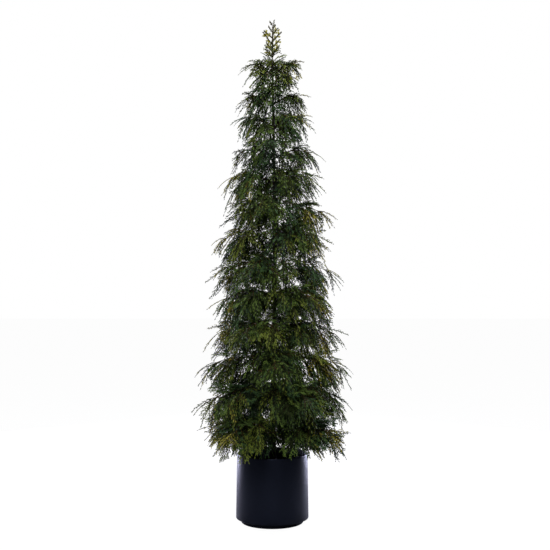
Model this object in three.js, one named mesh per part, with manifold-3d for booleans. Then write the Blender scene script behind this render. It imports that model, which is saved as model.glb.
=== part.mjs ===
// An artificial cedar, five feet tall, in its round black planter. A slim cone of drooping, flat
// sprays is carried by thirteen tiers of boughs on one thin trunk that stands in the planter's fill.
// Millimetres, +Z up, with the origin at the middle of the planter's flat underside.
import * as THREE from "three";
import { mergeVertices } from "three/addons/utils/BufferGeometryUtils.js";
import Module from "manifold-3d";

const wasm = await Module();
wasm.setup();

// Driving sizes
const HEIGHT = 1524;
const CLEARANCE = 0.3;
const SLIVER = 0.4;

const POT_HEIGHT = 208;
const POT_RIM_RADIUS = 107;
const POT_BASE_RADIUS = 110;
const POT_WALL = 4;
const POT_FLOOR = 6;
const FOOT_RADIUS = 94;
const FOOT_HEIGHT = 13.5;
const ROUND_SIDES = 36;

const FILL_TOP = 178;

const TRUNK_TOP = 1392;
const TRUNK_BASE_RADIUS = 9.5;
const TRUNK_TIP_RADIUS = 2.6;
const FLARE_RADIUS = 4.5;
const FLARE_HEIGHT = 38;
const TRUNK_LEAN = 7;
const TRUNK_SIDES = 10;
const TRUNK_STEPS = 12;

const SEED = 25;
const TIERS = 13;
const FULLEST_TIERS = 5;
const BOUGH_TIERS = 3;
const LOWEST_ROOT = 293;
const HIGHEST_ROOT = 1352;
const FIRST_TURN = 0.95;
const TIER_TURN = 1.1;
const WIDEST_REACH = 250;
const SLIMMEST_REACH = 86;
const REACH_BULGE = -3;
const UNEVEN_REACH = 0.14;
const LOWEST_RISE = 0.32;
const TOP_RISE = 0.85;
const DROOP = -0.46;
const TOP_DROOP = 0.15;
const CLOSING_UP = 0.12;
const TIER_WAVE = -10;

const PARTING_SHARE = 0.3;
const DEEPEST_HANG = 72;
const TOP_SPACE = 40;
const FURTHEST_SHARE = 1.1;
const CELL_MARGIN = 1.2;
const TRUNK_GAP = 3;
const BOUGH_GAP = 2;
const POT_GAP = 4;

const BOUGH_SHARE = 0.2;
const STEM_SHARE = 0.62;
const BOUGH_RADIUS = 4;
const STEM_RADIUS = 3.4;
const STEM_TIP_RADIUS = 2.2;

const THREE_TOOTH_TIERS = 3;
const THREE_PAIR_TIERS = 9;
const PAIR_ANGLE = [1.1, 0.8];
const PAIR_LENGTH = [0.7, 0.54];
const PAIR_ROLL = [1.5, 0.8];
const PAIR_TILT = [0.85, 1.25];
const PAIR_LIFT = [-0.5, 0.05];
const WIDER_SPREAD = 1.18;
const FIRST_SPRAY_SHARE = 0.16;
const BARE_START = 6;
const BARE_END = 2;
const PAIR_SHIFT = { left: 0.5, right: 0.1 };
const TIP_SPRAY = { lift: -0.15, unevenRoll: 0.8, length: 1.35, bend: 0.35 };
const CREST_SPRAY = { place: 0.32, lift: 0.12, unevenRoll: 1.6, length: 0.5, bend: 0.3 };
const SPRAY_THICKNESS = 2;
const SPRAY_SAG = 0.8;
const ROOT_LENGTH = 8;
const ROOT_HALF_WIDTH = 3;
const NOTCH_SHARE = 0.43;
const TOOTH_SWEEP = 0.3;
const SPRAY_WIDTH = 0.37;

const LEADER_RADIUS = 2.4;
const LEADER_TIP_RADIUS = 1.2;
const TALL_SPRAY = { rise: 12, tilt: 0, turn: 0.1, width: 26, teeth: 5 };
const FOOT_SPRAYS = [
  { rise: 5, tilt: 0.6, turn: 0.5, length: 78, width: 22, teeth: 3 },
  { rise: 10, tilt: 0.6, turn: 2.6, length: 78, width: 22, teeth: 3 },
  { rise: 20, tilt: 0.6, turn: 4.7, length: 74, width: 20, teeth: 3 },
];

const UP = new THREE.Vector3(0, 0, 1);
const DOWN = new THREE.Vector3(0, 0, -1);

// One repeatable number from 0 to 1 for each pair of whole numbers.
function chance(a, b) {
  const x = Math.sin(a * 127.1 + b * 311.7 + SEED) * 43758.5453;
  return x - Math.floor(x);
}

const mix = (low, high, share) => low + (high - low) * share;

const acrossOf = (level) => new THREE.Vector3(-level.y, level.x, 0);

// Solids

// A closed geometry, bare of everything but its places, as a solid that can be cut and joined.
function solidOf(geometry) {
  geometry.deleteAttribute("normal");
  geometry.deleteAttribute("uv");
  const merged = mergeVertices(geometry, 1e-3);
  const corners = merged.index.array;
  const kept = [];
  for (let i = 0; i < corners.length; i += 3) {
    const [a, b, c] = [corners[i], corners[i + 1], corners[i + 2]];
    if (a !== b && b !== c && c !== a) kept.push(a, b, c);
  }
  const places = new Float32Array(merged.attributes.position.array);
  return new wasm.Manifold(
    new wasm.Mesh({ numProp: 3, vertProperties: places, triVerts: new Uint32Array(kept) }),
  );
}

// The largest closed body of a solid, with the slivers along its joins smoothed away, its sealed
// hollows filled and its loose scraps dropped.
function wholeBody(solid) {
  const bodies = solid.asOriginal().simplify(SLIVER).decompose();
  return bodies.reduce((best, body) => (body.volume() > best.volume() ? body : best));
}

function geometryOf(solid) {
  const mesh = solid.getMesh();
  const places = new Float32Array(mesh.numVert * 3);
  for (let i = 0; i < mesh.numVert; i++) {
    places.set(mesh.vertProperties.subarray(i * mesh.numProp, i * mesh.numProp + 3), i * 3);
  }
  const geometry = new THREE.BufferGeometry();
  geometry.setAttribute("position", new THREE.BufferAttribute(places, 3));
  geometry.setIndex(new THREE.BufferAttribute(mesh.triVerts, 1));
  geometry.computeVertexNormals();
  return geometry;
}

// Moves every vertex of a geometry to where place(x, y, z) puts it.
function reshape(geometry, place) {
  const position = geometry.attributes.position;
  for (let i = 0; i < position.count; i++) {
    const p = place(position.getX(i), position.getY(i), position.getZ(i));
    position.setXYZ(i, p.x, p.y, p.z);
  }
  return geometry;
}

// A limb along line(t), as thick as radius(t), t from 0 to 1, with all its cross-sections and both
// its end cuts square to the direction facing.
function limb(line, radius, facing, sides, steps) {
  const cylinder = new THREE.CylinderGeometry(1, 1, 1, sides, steps);
  const across = Math.abs(facing.z) > 0.5 ? new THREE.Vector3(0, 1, 0) : acrossOf(facing);
  const other = new THREE.Vector3().crossVectors(facing, across);
  return reshape(cylinder, (x, y, z) => {
    const t = y + 0.5;
    return line(t)
      .addScaledVector(across, z * radius(t))
      .addScaledVector(other, x * radius(t));
  });
}

// A turned piece from its profile, [radius, height] from the underside round to the axis again.
function turned(profile) {
  const points = profile.map(([r, z]) => new THREE.Vector2(r, z));
  return new THREE.LatheGeometry(points, ROUND_SIDES).rotateX(Math.PI / 2);
}

// Trunk

// The trunk's middle leans a little towards +X and comes back at the top.
function trunkMiddle(z) {
  return TRUNK_LEAN * Math.sin((Math.PI * (z - FILL_TOP)) / (TRUNK_TOP - FILL_TOP));
}

function trunkRadius(z) {
  const taper = mix(TRUNK_BASE_RADIUS, TRUNK_TIP_RADIUS, (z - FILL_TOP) / (TRUNK_TOP - FILL_TOP));
  return taper + FLARE_RADIUS * Math.exp((FILL_TOP - z) / FLARE_HEIGHT);
}

function makeTrunk() {
  const height = (t) => mix(FILL_TOP, TRUNK_TOP, t ** 1.8);
  return limb(
    (t) => new THREE.Vector3(trunkMiddle(height(t)), 0, height(t)),
    (t) => trunkRadius(height(t)),
    UP,
    TRUNK_SIDES,
    TRUNK_STEPS,
  );
}

// Crown: where each mass of foliage grows, and the space that it keeps to

// How far the crown stands out from the trunk for a tier at this share of its height.
function reachOf(share) {
  return mix(WIDEST_REACH, SLIMMEST_REACH, share) + REACH_BULGE * Math.sin(Math.PI * share);
}

// A tier's boughs rise from the trunk and droop at the tip: root + rise * r - fall * r^2.
function tierAt(k) {
  const share = k / (TIERS - 1);
  const reach = reachOf(share);
  const rise = mix(LOWEST_RISE, TOP_RISE, share);
  const tipSlope = mix(DROOP, TOP_DROOP, share ** 6);
  return {
    k,
    reach,
    rise,
    fall: (rise - tipSlope) / (2 * reach),
    root: mix(LOWEST_ROOT, HIGHEST_ROOT, share * (1 + CLOSING_UP * (1 - share))),
    count: k < FULLEST_TIERS ? 4 : 3,
    turn: k * TIER_TURN + FIRST_TURN,
  };
}

// A tier isn't level: it waves up and down round the trunk, in step with the tiers above and below.
const waveAt = (turn) => TIER_WAVE * (Math.cos(2 * turn) + 0.4 * Math.sin(3 * turn));

const heightIn = (tier, r, turn) => tier.root + waveAt(turn) + tier.rise * r - tier.fall * r * r;

const tiers = Array.from({ length: TIERS }, (_, k) => tierAt(k));

// The surface that parts tier k from the one above it. It lies low, because a mass hangs from its
// stem.
function boundary(k, r, turn) {
  if (k < 0) return heightIn(tiers[0], r, turn) - DEEPEST_HANG;
  if (k >= TIERS - 1) return heightIn(tiers[TIERS - 1], r, turn) + TOP_SPACE;
  return mix(heightIn(tiers[k], r, turn), heightIn(tiers[k + 1], r, turn), PARTING_SHARE);
}

const masses = tiers.flatMap((tier) =>
  Array.from({ length: tier.count }, (_, i) => {
    const id = tier.k * 10 + i;
    return {
      id,
      tier,
      name: `${tier.k + 1}_${i + 1}`,
      turn: tier.turn + (i * 2 * Math.PI) / tier.count,
      reach: tier.reach * (1 + UNEVEN_REACH * (chance(id, 1) - 0.5)),
      hasBough: tier.k < BOUGH_TIERS,
    };
  }),
);

// The point of a mass's middle line at distance r from the trunk's middle.
function middleLine(mass, r) {
  const z = heightIn(mass.tier, r, mass.turn);
  return new THREE.Vector3(
    trunkMiddle(z) + r * Math.cos(mass.turn),
    r * Math.sin(mass.turn),
    z,
  );
}

const outwards = (mass) => new THREE.Vector3(Math.cos(mass.turn), Math.sin(mass.turn), 0);

// True if a point lies in the mass's own space: its sector of its tier, clear of trunk and bough.
function insideSpace(mass, p) {
  const x = p.x - trunkMiddle(p.z);
  const r = Math.hypot(x, p.y);
  const turn = Math.atan2(p.y, x);
  const off = Math.acos(Math.cos(turn - mass.turn));
  const half = Math.PI / mass.tier.count;
  if (r < trunkRadius(p.z) + TRUNK_GAP || r > mass.tier.reach * FURTHEST_SHARE) return false;
  if (off > half || r * Math.sin(Math.min(half - off, 1.5)) < CELL_MARGIN) return false;
  if (p.z < boundary(mass.tier.k - 1, r, turn) + CELL_MARGIN) return false;
  if (p.z > boundary(mass.tier.k, r, turn) - CELL_MARGIN) return false;
  if (p.z < POT_HEIGHT + POT_GAP && r < POT_BASE_RADIUS + POT_GAP) return false;
  const besideBough = r < mass.reach * BOUGH_SHARE + BOUGH_GAP;
  return !besideBough || p.distanceTo(middleLine(mass, r)) > BOUGH_RADIUS + BOUGH_GAP;
}

// Sprays: flat toothed blades, bent down under their own weight

// Where the point (x along the midrib, y across, h above) of a flat spray lies once it is bent.
function bentPoint(spray, x, y, h) {
  const { root, ahead, side, length, bend } = spray;
  const up = new THREE.Vector3().crossVectors(ahead, side);
  const drop = (bend * x * x) / (2 * length) + (SPRAY_SAG * y * y) / length;
  return root
    .clone()
    .addScaledVector(ahead, x)
    .addScaledVector(side, y)
    .addScaledVector(up, h)
    .addScaledVector(DOWN, drop);
}

// A spray's half width at share u of its midrib: widest before the middle, nothing at the tip.
const halfWidth = (spray, u) => spray.width * Math.sin(Math.PI * u ** 0.7);

// The flat outline of a spray, with forward teeth down both sides, set a part of a step apart.
function outline(spray) {
  const step = (0.86 * spray.length - ROOT_LENGTH) / spray.teeth;
  const edge = (sign, shift) => {
    const points = [{ x: ROOT_LENGTH, y: sign * ROOT_HALF_WIDTH }];
    for (let i = 1; i <= spray.teeth; i++) {
      const x = ROOT_LENGTH + (i + shift) * step;
      const width = halfWidth(spray, x / spray.length);
      points.push({ x: x + TOOTH_SWEEP * step, y: sign * width, tip: true });
      points.push({ x, y: sign * width * NOTCH_SHARE });
    }
    return points;
  };
  const right = edge(-1, -0.2);
  const left = edge(1, 0.1).reverse();
  return [{ x: 0, y: 0, tip: true }, ...right, { x: spray.length, y: 0, tip: true }, ...left];
}

function spraySolid(spray) {
  const points = outline(spray);
  const shape = new THREE.Shape(points.map((p) => new THREE.Vector2(p.x, p.y)));
  const plate = new THREE.ExtrudeGeometry(shape, { depth: 1, bevelEnabled: false });
  const isTip = (x, y) =>
    points.some((p) => p.tip && Math.hypot(p.x - x, p.y - y) < 1e-3);
  return solidOf(
    reshape(plate, (x, y, z) =>
      bentPoint(spray, x, y, isTip(x, y) ? 0 : (z - 0.5) * SPRAY_THICKNESS),
    ),
  );
}

// True if every corner of the spray, and the middle of each of its teeth, is in the mass's space.
function sprayFits(mass, spray) {
  return outline(spray).every((p) =>
    [0.55, 1].every((share) => {
      if (p.x < ROOT_LENGTH) return true;
      return insideSpace(mass, bentPoint(spray, mix(spray.length * 0.3, p.x, share), p.y * share, 0));
    }),
  );
}

// The sprays of one mass: one at the end of its stem, and pairs of them along it.
function spraysOf(mass) {
  const teeth = mass.tier.k < THREE_TOOTH_TIERS ? 3 : 2;
  const pairs = mass.tier.k < THREE_PAIR_TIERS ? 3 : 2;
  const start = mass.reach * (mass.hasBough ? BOUGH_SHARE : FIRST_SPRAY_SHARE);
  const end = mass.reach * STEM_SHARE;
  const out = outwards(mass);
  const across = acrossOf(out);
  const found = [];
  const add = (r, angle, lift, roll, length, bend) => {
    const slope = mass.tier.rise - 2 * mass.tier.fall * r;
    const level = out.clone().multiplyScalar(Math.cos(angle)).addScaledVector(across, Math.sin(angle));
    const ahead = level.clone().setZ(slope * Math.cos(angle) + lift).normalize();
    const side = acrossOf(level).normalize();
    side.addScaledVector(new THREE.Vector3().crossVectors(ahead, side), roll).normalize();
    side.addScaledVector(ahead, -side.dot(ahead)).normalize();
    for (let size = length; size > length * 0.55; size *= 0.88) {
      const root = middleLine(mass, r).addScaledVector(ahead, -STEM_TIP_RADIUS);
      const spray = { root, ahead, side, length: size, width: size * SPRAY_WIDTH, bend, teeth };
      if (sprayFits(mass, spray)) {
        found.push(spray);
        return;
      }
    }
  };
  const tipRoll = TIP_SPRAY.unevenRoll * (chance(mass.id, 2) - 0.5);
  add(end, 0, TIP_SPRAY.lift, tipRoll, (mass.reach - end) * TIP_SPRAY.length, TIP_SPRAY.bend);
  if (mass.tier.count === 3) {
    const crest = mix(start, end, CREST_SPRAY.place);
    const crestRoll = CREST_SPRAY.unevenRoll * (chance(mass.id, 3) - 0.5);
    const crestLength = mass.reach * CREST_SPRAY.length;
    add(crest, 0, CREST_SPRAY.lift, crestRoll, crestLength, CREST_SPRAY.bend);
  }
  const spread = mass.tier.count === 4 ? 1 : WIDER_SPREAD;
  const pitch = (end - start - BARE_START - BARE_END) / pairs;
  for (const sign of [1, -1]) {
    const shift = sign > 0 ? PAIR_SHIFT.left : PAIR_SHIFT.right;
    const tilt = mix(...PAIR_TILT, chance(mass.id, 40 + sign));
    for (let i = 0; i < pairs; i++) {
      const key = 10 + i * 2 + (sign + 1) / 2;
      const r = start + BARE_START + (i + shift) * pitch;
      const share = i / (pairs - 1);
      const angle = sign * (mix(...PAIR_ANGLE, share) * spread + 0.1 * (chance(mass.id, key) - 0.5));
      const lift = PAIR_LIFT[i % 2] + 0.2 * (chance(mass.id, key + 20) - 0.5);
      const roll = sign * tilt * mix(...PAIR_ROLL, share);
      const span = mix(...PAIR_LENGTH, share) * spread;
      const length = mass.reach * (span + 0.1 * (chance(mass.id, key + 60) - 0.5));
      add(r, angle, lift, roll, length, 2 * mass.tier.fall * length);
    }
  }
  return found;
}

// Boughs and masses

// The bough's bare part, from 0.3 mm clear of the trunk to where it enters the foliage.
function makeBough(mass) {
  const from = trunkRadius(middleLine(mass, 0).z) + CLEARANCE;
  const to = mass.reach * BOUGH_SHARE - CLEARANCE;
  return limb(
    (t) => middleLine(mass, mix(from, to, t)),
    (t) => mix(BOUGH_RADIUS, STEM_RADIUS, t),
    outwards(mass),
    5,
    3,
  );
}

function makeMass(mass) {
  const trunkSkin = trunkRadius(middleLine(mass, 0).z) + CLEARANCE;
  const from = mass.hasBough ? mass.reach * BOUGH_SHARE : trunkSkin;
  const to = mass.reach * STEM_SHARE + 3;
  const stem = limb(
    (t) => middleLine(mass, mix(from, to, t)),
    (t) => mix(STEM_RADIUS, STEM_TIP_RADIUS, t),
    outwards(mass),
    3,
    2,
  );
  const sprays = spraysOf(mass).map(spraySolid);
  return wholeBody(wasm.Manifold.union([solidOf(stem), ...sprays]));
}

// The leader: the upright tip of the tree, one tall spray with shorter ones round its foot.
function makeLeader() {
  const from = TRUNK_TOP + CLEARANCE;
  const axis = (z) => new THREE.Vector3(trunkMiddle(TRUNK_TOP), 0, z);
  const radius = (t) => mix(LEADER_RADIUS, LEADER_TIP_RADIUS, t);
  const stem = limb((t) => axis(mix(from, HEIGHT - 30, t)), radius, UP, 3, 3);
  const tall = { ...TALL_SPRAY, length: HEIGHT - from - TALL_SPRAY.rise };
  const solids = [tall, ...FOOT_SPRAYS].map(({ rise, tilt, turn, length, width, teeth }) => {
    const level = new THREE.Vector3(Math.cos(turn), Math.sin(turn), 0);
    const ahead = level.clone().multiplyScalar(tilt).setZ(1).normalize();
    const side = new THREE.Vector3().crossVectors(level, DOWN).normalize();
    if (tilt === 0) side.copy(level);
    const root = axis(from + rise);
    return spraySolid({ root, ahead, side, length, width, bend: 0, teeth });
  });
  return wholeBody(wasm.Manifold.union([solidOf(stem), ...solids]));
}

// Planter

// The inner radius of the planter's wall, which is as thick all the way up.
const innerRadius = (z) => mix(POT_BASE_RADIUS, POT_RIM_RADIUS, z / POT_HEIGHT) - POT_WALL;

function makePot() {
  const floor = FOOT_HEIGHT + POT_FLOOR;
  return turned([
    [0, 0],
    [FOOT_RADIUS - 1.5, 0],
    [FOOT_RADIUS, 1.5],
    [FOOT_RADIUS, FOOT_HEIGHT],
    [POT_BASE_RADIUS - 3, FOOT_HEIGHT],
    [POT_BASE_RADIUS, FOOT_HEIGHT + 3],
    [POT_RIM_RADIUS, POT_HEIGHT - 1.5],
    [POT_RIM_RADIUS - 1.5, POT_HEIGHT],
    [innerRadius(POT_HEIGHT) + 1, POT_HEIGHT],
    [innerRadius(POT_HEIGHT), POT_HEIGHT - 1],
    [innerRadius(floor), floor],
    [0, floor],
  ]);
}

// The fill stands on the planter's floor, and its top is level where the trunk stands on it.
function makeFill() {
  const floor = FOOT_HEIGHT + POT_FLOOR;
  const shoulder = FILL_TOP - 8;
  return turned([
    [0, floor],
    [innerRadius(floor) - 2 * CLEARANCE, floor],
    [innerRadius(shoulder) - 2 * CLEARANCE, shoulder],
    [0.78 * POT_RIM_RADIUS, FILL_TOP - CLEARANCE],
    [0, FILL_TOP - CLEARANCE],
  ]);
}

// Finishes

const finish = (color, roughness) => new THREE.MeshStandardMaterial({ color, roughness, metalness: 0 });
const potBlack = finish(0x14161c, 0.45);
const fillBrown = finish(0x15120e, 0.95);
const barkBrown = finish(0x2a1f17, 0.85);
const cedarGreens = [0x2f4a22, 0x3a5326, 0x27432a, 0x4a5a26].map((c) => finish(c, 0.7));

// Assembly

const tree = new THREE.Group();

function place(name, geometry, material) {
  const mesh = new THREE.Mesh(geometry, material);
  mesh.name = name;
  tree.add(mesh);
}

place("pot", makePot(), potBlack);
place("planting_fill", makeFill(), fillBrown);
place("trunk", makeTrunk(), barkBrown);
for (const mass of masses) {
  if (mass.hasBough) place(`bough_${mass.name}`, makeBough(mass), barkBrown);
  place(`foliage_${mass.name}`, geometryOf(makeMass(mass)), cedarGreens[mass.id % 4]);
}
place("leader_foliage", geometryOf(makeLeader()), cedarGreens[1]);

export default tree;
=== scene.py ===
# An artificial cedar, five feet tall, in its round satin black planter. Blender units are metres,
# and the plan of the crown is worked out in millimetres, as it is in the part's source.
import math

import bmesh
import bpy
import numpy as np
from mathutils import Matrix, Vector, noise


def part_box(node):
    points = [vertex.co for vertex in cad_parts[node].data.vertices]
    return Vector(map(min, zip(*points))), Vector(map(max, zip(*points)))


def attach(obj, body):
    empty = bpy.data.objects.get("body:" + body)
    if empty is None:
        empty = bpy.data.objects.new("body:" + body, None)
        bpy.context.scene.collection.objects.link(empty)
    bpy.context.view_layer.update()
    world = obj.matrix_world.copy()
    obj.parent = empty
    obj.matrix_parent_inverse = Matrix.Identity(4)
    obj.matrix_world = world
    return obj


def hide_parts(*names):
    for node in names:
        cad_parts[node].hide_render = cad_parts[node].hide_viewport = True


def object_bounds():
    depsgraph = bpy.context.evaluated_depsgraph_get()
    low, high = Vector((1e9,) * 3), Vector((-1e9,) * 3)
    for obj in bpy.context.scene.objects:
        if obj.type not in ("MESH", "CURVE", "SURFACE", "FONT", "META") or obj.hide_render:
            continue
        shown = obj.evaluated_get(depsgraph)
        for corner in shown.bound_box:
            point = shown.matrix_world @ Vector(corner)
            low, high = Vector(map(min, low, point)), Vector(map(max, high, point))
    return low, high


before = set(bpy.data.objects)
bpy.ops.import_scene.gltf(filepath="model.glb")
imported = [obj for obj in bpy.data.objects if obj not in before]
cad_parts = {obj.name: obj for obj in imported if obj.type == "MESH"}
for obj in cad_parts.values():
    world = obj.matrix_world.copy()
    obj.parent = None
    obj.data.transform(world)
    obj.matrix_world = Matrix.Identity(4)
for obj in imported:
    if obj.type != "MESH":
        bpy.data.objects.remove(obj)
cad_low, cad_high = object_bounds()


# Planter
# A round planter of moulded plastic with a satin, bluish-black finish. Its wall narrows a little
# upwards to a rounded lip, and under it a narrower foot leaves a dark gap above the floor.
MM = 0.001
POT_WALL = 4
POT_FLOOR = 6
POT_RIM_RADIUS = 107
POT_STEPS = 128
FOOT_RADIUS = 94
FOOT_HEIGHT = 13.5
FOOT_ROUNDING = 2.2
LIP_ROUNDING = 1.9
WELD_DISTANCE = 0.02
RING_TOLERANCE = 0.05
LEVEL_TOLERANCE = 0.001

_, pot_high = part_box("pot")
pot_height = pot_high.z / MM
pot_base_radius = pot_high.x / MM


def mix(low, high, share):
    return low + (high - low) * share


def wall_radius(z):
    """The planter's outer radius at height z."""
    return mix(pot_base_radius, POT_RIM_RADIUS, z / pot_height)


def spun(profile):
    """A bmesh of a profile [radius, height] in millimetres, spun once round the upright axis."""
    bm = bmesh.new()
    corners = [bm.verts.new((r * MM, 0, z * MM)) for r, z in profile]
    edges = [bm.edges.new(pair) for pair in zip(corners, corners[1:])]
    bmesh.ops.spin(
        bm, geom=corners + edges, cent=(0, 0, 0), axis=(0, 0, 1), angle=2 * math.pi,
        steps=POT_STEPS, use_merge=True,
    )
    bmesh.ops.remove_doubles(bm, verts=bm.verts, dist=WELD_DISTANCE * MM)
    bmesh.ops.recalc_face_normals(bm, faces=bm.faces)
    return bm


def round_rings(bm, rings, width, segments):
    """Rounds the edges that lie on the rings (radius, height), in millimetres."""
    def on_ring(vert):
        here = (math.hypot(vert.co.x, vert.co.y) / MM, vert.co.z / MM)
        return any(math.dist(here, ring) < RING_TOLERANCE for ring in rings)

    def is_level(edge):
        return abs(edge.verts[0].co.z - edge.verts[1].co.z) < LEVEL_TOLERANCE * MM

    edges = [edge for edge in bm.edges if all(on_ring(vert) for vert in edge.verts)]
    level = [edge for edge in edges if is_level(edge)]
    bmesh.ops.bevel(
        bm, geom=level, offset=width * MM, affect="EDGES", segments=segments, profile=0.5,
        material=-1,
    )


def add_piece(name, shape, nodes, smooth=True):
    """Links a bmesh or a mesh as a piece that rides on the plant and stands for CAD nodes."""
    mesh = shape
    if isinstance(shape, bmesh.types.BMesh):
        mesh = bpy.data.meshes.new(name)
        shape.to_mesh(mesh)
        shape.free()
    mesh.polygons.foreach_set("use_smooth", [smooth] * len(mesh.polygons))
    piece = bpy.data.objects.new(name, mesh)
    bpy.context.scene.collection.objects.link(piece)
    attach(piece, "root")
    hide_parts(*nodes)
    return piece


def make_variation_group():
    """Patches, broad and soft, and grain, fine and sharp, both from 0 to 1 over the surface."""
    group = bpy.data.node_groups.new("Surface variation", "ShaderNodeTree")
    sockets = group.interface
    sockets.new_socket("Patch scale", in_out="INPUT", socket_type="NodeSocketFloat")
    sockets.new_socket("Grain scale", in_out="INPUT", socket_type="NodeSocketFloat")
    sockets.new_socket("Stretch", in_out="INPUT", socket_type="NodeSocketVector")
    sockets.new_socket("Patches", in_out="OUTPUT", socket_type="NodeSocketFloat")
    sockets.new_socket("Grain", in_out="OUTPUT", socket_type="NodeSocketFloat")
    nodes, links = group.nodes, group.links
    given = nodes.new("NodeGroupInput")
    result = nodes.new("NodeGroupOutput")
    place = nodes.new("ShaderNodeTexCoord")
    stretched = nodes.new("ShaderNodeVectorMath")
    stretched.operation = "MULTIPLY"
    links.new(place.outputs["Object"], stretched.inputs[0])
    links.new(given.outputs["Stretch"], stretched.inputs[1])
    for output, scale, detail in (("Patches", "Patch scale", 2), ("Grain", "Grain scale", 5)):
        pattern = nodes.new("ShaderNodeTexNoise")
        pattern.inputs["Detail"].default_value = detail
        links.new(stretched.outputs[0], pattern.inputs["Vector"])
        links.new(given.outputs[scale], pattern.inputs["Scale"])
        spread = nodes.new("ShaderNodeMapRange")
        spread.inputs["From Min"].default_value = 0.3
        spread.inputs["From Max"].default_value = 0.7
        links.new(pattern.outputs["Fac"], spread.inputs["Value"])
        links.new(spread.outputs["Result"], result.inputs[output])
    return group


variation = make_variation_group()


def finish(name, dark, light, roughness, specular, scales, relief, stretch=(1, 1, 1)):
    """A finish whose colour goes from dark to light in patches, with a fine grain in its gloss
    and relief. roughness is its (least, most), scales its (patches, grain) per metre, and relief
    the grain's depth in millimetres."""
    material = bpy.data.materials.new(name)
    material.use_nodes = True
    nodes, links = material.node_tree.nodes, material.node_tree.links
    shader = nodes["Principled BSDF"]
    shader.inputs["Specular IOR Level"].default_value = specular
    pattern = nodes.new("ShaderNodeGroup")
    pattern.node_tree = variation
    pattern.inputs["Patch scale"].default_value = scales[0]
    pattern.inputs["Grain scale"].default_value = scales[1]
    pattern.inputs["Stretch"].default_value = stretch
    colour = nodes.new("ShaderNodeMix")
    colour.data_type = "RGBA"
    colour.inputs["A"].default_value = (*dark, 1)
    colour.inputs["B"].default_value = (*light, 1)
    links.new(pattern.outputs["Patches"], colour.inputs["Factor"])
    links.new(colour.outputs["Result"], shader.inputs["Base Color"])
    gloss = nodes.new("ShaderNodeMapRange")
    gloss.inputs["To Min"].default_value = roughness[0]
    gloss.inputs["To Max"].default_value = roughness[1]
    links.new(pattern.outputs["Grain"], gloss.inputs["Value"])
    links.new(gloss.outputs["Result"], shader.inputs["Roughness"])
    bump = nodes.new("ShaderNodeBump")
    bump.inputs["Distance"].default_value = relief * MM
    links.new(pattern.outputs["Grain"], bump.inputs["Height"])
    links.new(bump.outputs["Normal"], shader.inputs["Normal"])
    return material


def make_planter():
    floor = FOOT_HEIGHT + POT_FLOOR
    inner_lip = wall_radius(pot_height) - POT_WALL
    bm = spun([
        (0, 0),
        (FOOT_RADIUS, 0),
        (FOOT_RADIUS, FOOT_HEIGHT),
        (pot_base_radius, FOOT_HEIGHT),
        (wall_radius(pot_height), pot_height),
        (inner_lip, pot_height),
        (wall_radius(floor) - POT_WALL, floor),
        (0, floor),
    ])
    foot_rings = [(FOOT_RADIUS, 0), (pot_base_radius, FOOT_HEIGHT)]
    lip_rings = [(wall_radius(pot_height), pot_height), (inner_lip, pot_height)]
    round_rings(bm, foot_rings, FOOT_ROUNDING, segments=4)
    round_rings(bm, lip_rings, LIP_ROUNDING, segments=5)
    return bm


planter = add_piece("planter", make_planter(), ["pot"])
satin_black = finish(
    "Satin black plastic", (0.0028, 0.0032, 0.006), (0.0036, 0.0042, 0.0078), (0.34, 0.42), 0.4,
    (9, 900), 0.04,
)
satin_shader = satin_black.node_tree.nodes["Principled BSDF"]
satin_shader.inputs["Specular Tint"].default_value = (0.55, 0.66, 1, 1)
planter.data.materials.append(satin_black)


# Planting fill
# The rough, dark fill that weights the planter and holds the trunk. It is poured in, so its top
# is uneven and climbs a little round the trunk.
FILL_TOP = 178
FILL_GAP = 0.6
FILL_SINK = 3
FILL_RINGS = 26
FILL_ROUGHNESS = 2.2
FILL_LUMPS_PER_METRE = 90
MOUND_HEIGHT = 4
MOUND_WIDTH = 18


def make_fill():
    floor = FOOT_HEIGHT + POT_FLOOR
    edge = wall_radius(FILL_TOP) - POT_WALL - FILL_GAP
    top = [(edge * (1 - i / FILL_RINGS), FILL_TOP - FILL_SINK) for i in range(FILL_RINGS + 1)]
    bm = spun([(0, floor), (wall_radius(floor) - POT_WALL - FILL_GAP, floor), *top])
    for vert in bm.verts:
        r = math.hypot(vert.co.x, vert.co.y) / MM
        on_top = vert.co.z > 0.9 * FILL_TOP * MM
        if on_top and r < edge - 1:
            lumps = noise.fractal(vert.co * FILL_LUMPS_PER_METRE, 1, 2, 4) * FILL_ROUGHNESS
            vert.co.z += (lumps + MOUND_HEIGHT * math.exp(-r / MOUND_WIDTH)) * MM
    return bm


fill = add_piece("planting_fill_top", make_fill(), ["planting_fill"], smooth=False)
fill.data.materials.append(finish(
    "Dark rough fill", (0.006, 0.005, 0.004), (0.02, 0.016, 0.012), (0.85, 1), 0.2, (60, 700), 1.2,
))


# Trunk
# One thin trunk with a bark moulded on it, furrowed lengthwise. It flares where it stands in the
# fill, leans out a little towards +X half-way up, and ends under the leader.
TRUNK_TOP = 1392
TRUNK_BASE_RADIUS = 9.5
TRUNK_TIP_RADIUS = 2.6
FLARE_RADIUS = 4.5
FLARE_HEIGHT = 38
TRUNK_LEAN = 7
TRUNK_SIDES = 48
TRUNK_RINGS = 320
FURROW_DEPTH = 0.16
FURROWS_ROUND = 2.6
FURROWS_ALONG = 0.06
MEAN_FURROW = 0.6


def trunk_middle(z):
    return TRUNK_LEAN * np.sin(math.pi * (z - FILL_TOP) / (TRUNK_TOP - FILL_TOP))


def trunk_radius(z):
    taper = mix(TRUNK_BASE_RADIUS, TRUNK_TIP_RADIUS, (z - FILL_TOP) / (TRUNK_TOP - FILL_TOP))
    return taper + FLARE_RADIUS * np.exp((FILL_TOP - z) / FLARE_HEIGHT)


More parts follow.
